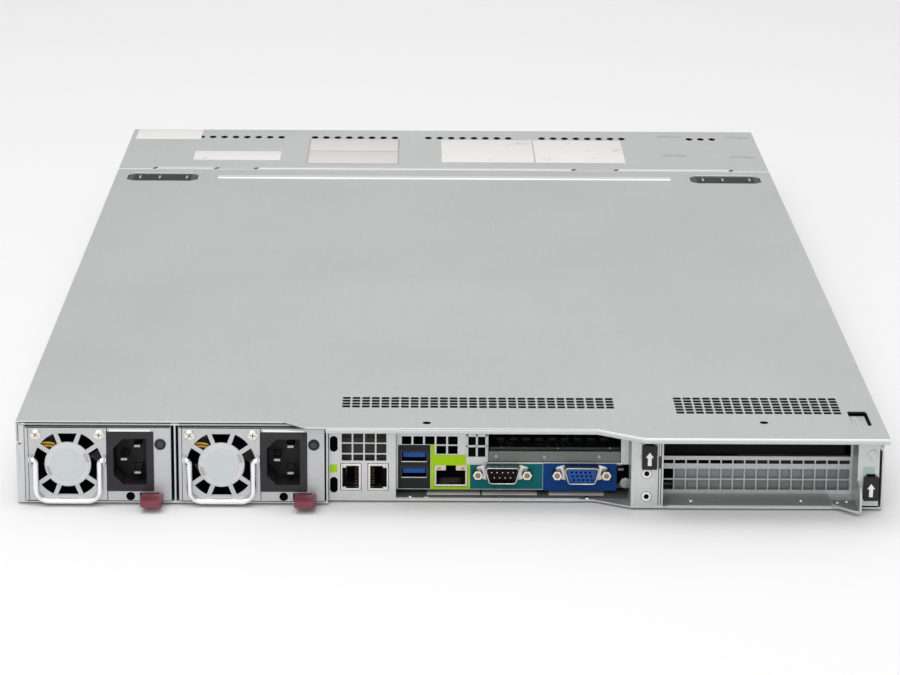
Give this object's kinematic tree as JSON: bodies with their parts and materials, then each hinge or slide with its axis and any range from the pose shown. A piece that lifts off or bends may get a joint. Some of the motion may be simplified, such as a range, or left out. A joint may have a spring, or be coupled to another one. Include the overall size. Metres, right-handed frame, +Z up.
{
  "type": "rack server",
  "caption": "Flat rack-mount server: steel tray with a lift-off lid, front drive trays with swing levers, inner fans and boards, and pull-out power supplies with bail handles.",
  "frame": {"origin": "on the underside of the floor, midway between the two sides and midway between the front edge and the rearmost lip of the lid", "axes": "+Z up, +Y towards the connectors and power supplies at the rear, +X towards the power supply side"},
  "size_m": [0.437, 0.737, 0.0438],
  "materials": {
    "tray_steel": "satin galvanised",
    "cover_steel": "satin",
    "black_plastic": "matte",
    "bezel_plastic": "fine grain",
    "board": "satin lacquer",
    "fin_aluminium": "bare",
    "wire_chrome": "bright",
    "psu_steel": "satin",
    "connector_steel": "bright tin",
    "latch_plastic": "matte",
    "shroud_plastic": "satin",
    "module": "satin lacquer"
  },
  "bodies": {
    "chassis": {"chassis_tray": "tray_steel", "front_top_panel": "cover_steel", "drive_cage": "tray_steel", "drive_backplane": "board", "control_panel": "bezel_plastic", "fan_frames": "black_plastic", "motherboard": "board", "memory_modules": "module", "cpu_heatsinks": "fin_aluminium", "air_shroud": "shroud_plastic", "psu_cage": "tray_steel", "power_board": "board", "lan_bracket": "tray_steel", "network_jacks": "connector_steel", "usb_ports": "connector_steel", "dsub_ports": "connector_steel", "io_shield": "tray_steel", "riser_bracket": "tray_steel", "expansion_bay": "tray_steel"},
    "cover": {"top_cover": "cover_steel"},
    "release_left": {"cover_release_left": "black_plastic"},
    "release_right": {"cover_release_right": "black_plastic"},
    "post_lock": {"bay_lock_post": "black_plastic"},
    "corner_lock": {"bay_lock_corner": "black_plastic"},
    "button": {"power_button": "bezel_plastic"},
    "fan_1": {"fan_rotor_1": "black_plastic"},
    "fan_2": {"fan_rotor_2": "black_plastic"},
    "fan_3": {"fan_rotor_3": "black_plastic"},
    "fan_4": {"fan_rotor_4": "black_plastic"},
    "fan_5": {"fan_rotor_5": "black_plastic"},
    "psu_1": {"psu_housing_1": "psu_steel", "power_inlet_1": "black_plastic"},
    "psu_fan_1": {"psu_fan_rotor_1": "black_plastic"},
    "handle_1": {"psu_handle_1": "wire_chrome"},
    "latch_1": {"psu_latch_1": "latch_plastic"},
    "psu_2": {"psu_housing_2": "psu_steel", "power_inlet_2": "black_plastic"},
    "psu_fan_2": {"psu_fan_rotor_2": "black_plastic"},
    "handle_2": {"psu_handle_2": "wire_chrome"},
    "latch_2": {"psu_latch_2": "latch_plastic"},
    "carrier_01": {"drive_carrier_01": "bezel_plastic"},
    "lever_01": {"drive_lever_01": "bezel_plastic"},
    "carrier_02": {"drive_carrier_02": "bezel_plastic"},
    "lever_02": {"drive_lever_02": "bezel_plastic"},
    "carrier_03": {"drive_carrier_03": "bezel_plastic"},
    "lever_03": {"drive_lever_03": "bezel_plastic"},
    "carrier_04": {"drive_carrier_04": "bezel_plastic"},
    "lever_04": {"drive_lever_04": "bezel_plastic"},
    "carrier_05": {"drive_carrier_05": "bezel_plastic"},
    "lever_05": {"drive_lever_05": "bezel_plastic"},
    "carrier_06": {"drive_carrier_06": "bezel_plastic"},
    "lever_06": {"drive_lever_06": "bezel_plastic"},
    "carrier_07": {"drive_carrier_07": "bezel_plastic"},
    "lever_07": {"drive_lever_07": "bezel_plastic"},
    "carrier_08": {"drive_carrier_08": "bezel_plastic"},
    "lever_08": {"drive_lever_08": "bezel_plastic"},
    "carrier_09": {"drive_carrier_09": "bezel_plastic"},
    "lever_09": {"drive_lever_09": "bezel_plastic"},
    "carrier_10": {"drive_carrier_10": "bezel_plastic"},
    "lever_10": {"drive_lever_10": "bezel_plastic"}
  },
  "joints": [
    {"name": "cover_lift", "type": "slide", "parent": "chassis", "child": "cover", "axis": [0, 0, 1], "range_m": [0, 0.15]},
    {"name": "release_left_press", "type": "slide", "parent": "cover", "child": "release_left", "axis": [0, 0, -1], "range_m": [0, 0.002], "stiffness_N_per_m": 800, "springref_m": -0.002},
    {"name": "release_right_press", "type": "slide", "parent": "cover", "child": "release_right", "axis": [0, 0, -1], "range_m": [0, 0.002], "stiffness_N_per_m": 800, "springref_m": -0.002},
    {"name": "post_lock_slide", "type": "slide", "parent": "chassis", "child": "post_lock", "axis": [0, 0, 1], "range_m": [0, 0.004]},
    {"name": "corner_lock_slide", "type": "slide", "parent": "chassis", "child": "corner_lock", "axis": [0, 0, 1], "range_m": [0, 0.004]},
    {"name": "power_button_press", "type": "slide", "parent": "chassis", "child": "button", "axis": [0, 1, 0], "range_m": [0, 0.001], "stiffness_N_per_m": 600, "springref_m": -0.0008},
    {"name": "fan_1_spin", "type": "hinge", "parent": "chassis", "child": "fan_1", "pos_m": [-0.176, -0.1065, 0.0213], "axis": [0, 1, 0], "continuous": true},
    {"name": "fan_2_spin", "type": "hinge", "parent": "chassis", "child": "fan_2", "pos_m": [-0.116, -0.1065, 0.0213], "axis": [0, 1, 0], "continuous": true},
    {"name": "fan_3_spin", "type": "hinge", "parent": "chassis", "child": "fan_3", "pos_m": [-0.056, -0.1065, 0.0213], "axis": [0, 1, 0], "continuous": true},
    {"name": "fan_4_spin", "type": "hinge", "parent": "chassis", "child": "fan_4", "pos_m": [0.004, -0.1065, 0.0213], "axis": [0, 1, 0], "continuous": true},
    {"name": "fan_5_spin", "type": "hinge", "parent": "chassis", "child": "fan_5", "pos_m": [0.064, -0.1065, 0.0213], "axis": [0, 1, 0], "continuous": true},
    {"name": "psu_1_slide", "type": "slide", "parent": "chassis", "child": "psu_1", "axis": [0, 1, 0], "range_m": [0, 0.21]},
    {"name": "psu_fan_1_spin", "type": "hinge", "parent": "psu_1", "child": "psu_fan_1", "pos_m": [0.1925, 0.332, 0.0209], "axis": [0, 1, 0], "continuous": true},
    {"name": "handle_1_swing", "type": "hinge", "parent": "psu_1", "child": "handle_1", "pos_m": [0.1925, 0.347, 0.0235], "axis": [1, 0, 0], "range_deg": [0, 90]},
    {"name": "latch_1_push", "type": "slide", "parent": "psu_1", "child": "latch_1", "axis": [1, 0, 0], "range_m": [0, 0.003], "stiffness_N_per_m": 1200, "springref_m": -0.002},
    {"name": "psu_2_slide", "type": "slide", "parent": "chassis", "child": "psu_2", "axis": [0, 1, 0], "range_m": [0, 0.21]},
    {"name": "psu_fan_2_spin", "type": "hinge", "parent": "psu_2", "child": "psu_fan_2", "pos_m": [0.1152, 0.332, 0.0209], "axis": [0, 1, 0], "continuous": true},
    {"name": "handle_2_swing", "type": "hinge", "parent": "psu_2", "child": "handle_2", "pos_m": [0.1152, 0.347, 0.0235], "axis": [1, 0, 0], "range_deg": [0, 90]},
    {"name": "latch_2_push", "type": "slide", "parent": "psu_2", "child": "latch_2", "axis": [1, 0, 0], "range_m": [0, 0.003], "stiffness_N_per_m": 1200, "springref_m": -0.002},
    {"name": "carrier_01_slide", "type": "slide", "parent": "chassis", "child": "carrier_01", "axis": [0, -1, 0], "range_m": [0, 0.11]},
    {"name": "lever_01_swing", "type": "hinge", "parent": "carrier_01", "child": "lever_01", "pos_m": [-0.21004, -0.3658, 0.01095], "axis": [0, 0, -1], "range_deg": [0, 70]},
    {"name": "carrier_02_slide", "type": "slide", "parent": "chassis", "child": "carrier_02", "axis": [0, -1, 0], "range_m": [0, 0.11]},
    {"name": "lever_02_swing", "type": "hinge", "parent": "carrier_02", "child": "lever_02", "pos_m": [-0.13052, -0.3658, 0.01095], "axis": [0, 0, -1], "range_deg": [0, 70]},
    {"name": "carrier_03_slide", "type": "slide", "parent": "chassis", "child": "carrier_03", "axis": [0, -1, 0], "range_m": [0, 0.11]},
    {"name": "lever_03_swing", "type": "hinge", "parent": "carrier_03", "child": "lever_03", "pos_m": [-0.051, -0.3658, 0.01095], "axis": [0, 0, -1], "range_deg": [0, 70]},
    {"name": "carrier_04_slide", "type": "slide", "parent": "chassis", "child": "carrier_04", "axis": [0, -1, 0], "range_m": [0, 0.11]},
    {"name": "lever_04_swing", "type": "hinge", "parent": "carrier_04", "child": "lever_04", "pos_m": [0.02852, -0.3658, 0.01095], "axis": [0, 0, -1], "range_deg": [0, 70]},
    {"name": "carrier_05_slide", "type": "slide", "parent": "chassis", "child": "carrier_05", "axis": [0, -1, 0], "range_m": [0, 0.11]},
    {"name": "lever_05_swing", "type": "hinge", "parent": "carrier_05", "child": "lever_05", "pos_m": [0.10804, -0.3658, 0.01095], "axis": [0, 0, -1], "range_deg": [0, 70]},
    {"name": "carrier_06_slide", "type": "slide", "parent": "chassis", "child": "carrier_06", "axis": [0, -1, 0], "range_m": [0, 0.11]},
    {"name": "lever_06_swing", "type": "hinge", "parent": "carrier_06", "child": "lever_06", "pos_m": [-0.21004, -0.3658, 0.03185], "axis": [0, 0, -1], "range_deg": [0, 70]},
    {"name": "carrier_07_slide", "type": "slide", "parent": "chassis", "child": "carrier_07", "axis": [0, -1, 0], "range_m": [0, 0.11]},
    {"name": "lever_07_swing", "type": "hinge", "parent": "carrier_07", "child": "lever_07", "pos_m": [-0.13052, -0.3658, 0.03185], "axis": [0, 0, -1], "range_deg": [0, 70]},
    {"name": "carrier_08_slide", "type": "slide", "parent": "chassis", "child": "carrier_08", "axis": [0, -1, 0], "range_m": [0, 0.11]},
    {"name": "lever_08_swing", "type": "hinge", "parent": "carrier_08", "child": "lever_08", "pos_m": [-0.051, -0.3658, 0.03185], "axis": [0, 0, -1], "range_deg": [0, 70]},
    {"name": "carrier_09_slide", "type": "slide", "parent": "chassis", "child": "carrier_09", "axis": [0, -1, 0], "range_m": [0, 0.11]},
    {"name": "lever_09_swing", "type": "hinge", "parent": "carrier_09", "child": "lever_09", "pos_m": [0.02852, -0.3658, 0.03185], "axis": [0, 0, -1], "range_deg": [0, 70]},
    {"name": "carrier_10_slide", "type": "slide", "parent": "chassis", "child": "carrier_10", "axis": [0, -1, 0], "range_m": [0, 0.11]},
    {"name": "lever_10_swing", "type": "hinge", "parent": "carrier_10", "child": "lever_10", "pos_m": [0.10804, -0.3658, 0.03185], "axis": [0, 0, -1], "range_deg": [0, 70]}
  ]
}
